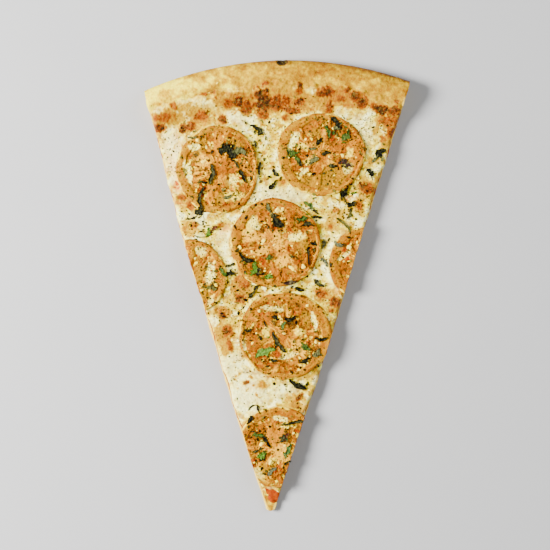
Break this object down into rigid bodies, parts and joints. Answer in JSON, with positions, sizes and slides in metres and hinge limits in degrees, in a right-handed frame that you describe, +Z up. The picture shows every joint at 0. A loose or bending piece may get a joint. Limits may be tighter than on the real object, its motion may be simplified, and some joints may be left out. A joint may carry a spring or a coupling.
{
  "type": "pizza slice",
  "caption": "Long thin-crust pizza slice with a rounded rim, tomato sauce, melted cheese and baked tomato rounds, cut to a blunt tip.",
  "frame": {"origin": "centre of the bounding box, on the flat underside", "axes": "+Z up from the underside, +Y from the tip towards the rim, +X to the right when the rim is away from the viewer"},
  "size_m": [0.1354, 0.2292, 0.0141],
  "materials": {
    "dough": "dry baked bread crust, pale gold with browner bumps",
    "sauce": "moist cooked tomato sauce",
    "cheese": "melted cheese, cream coloured with browned patches, slightly oily",
    "tomato": "moist baked tomato flesh with a thin tight skin",
    "herbs": "dried and wilted leaf pieces",
    "crumbs": "small grated cheese crumbs and seeds"
  },
  "bodies": {
    "root": {"dough": "dough", "sauce": "sauce", "cheese": "cheese", "tomato_upper_left": "tomato", "tomato_upper_right": "tomato", "tomato_centre": "tomato", "tomato_lower": "tomato", "tomato_left_edge": "tomato", "tomato_right_edge": "tomato", "tomato_tip": "tomato"}
  },
  "joints": []
}
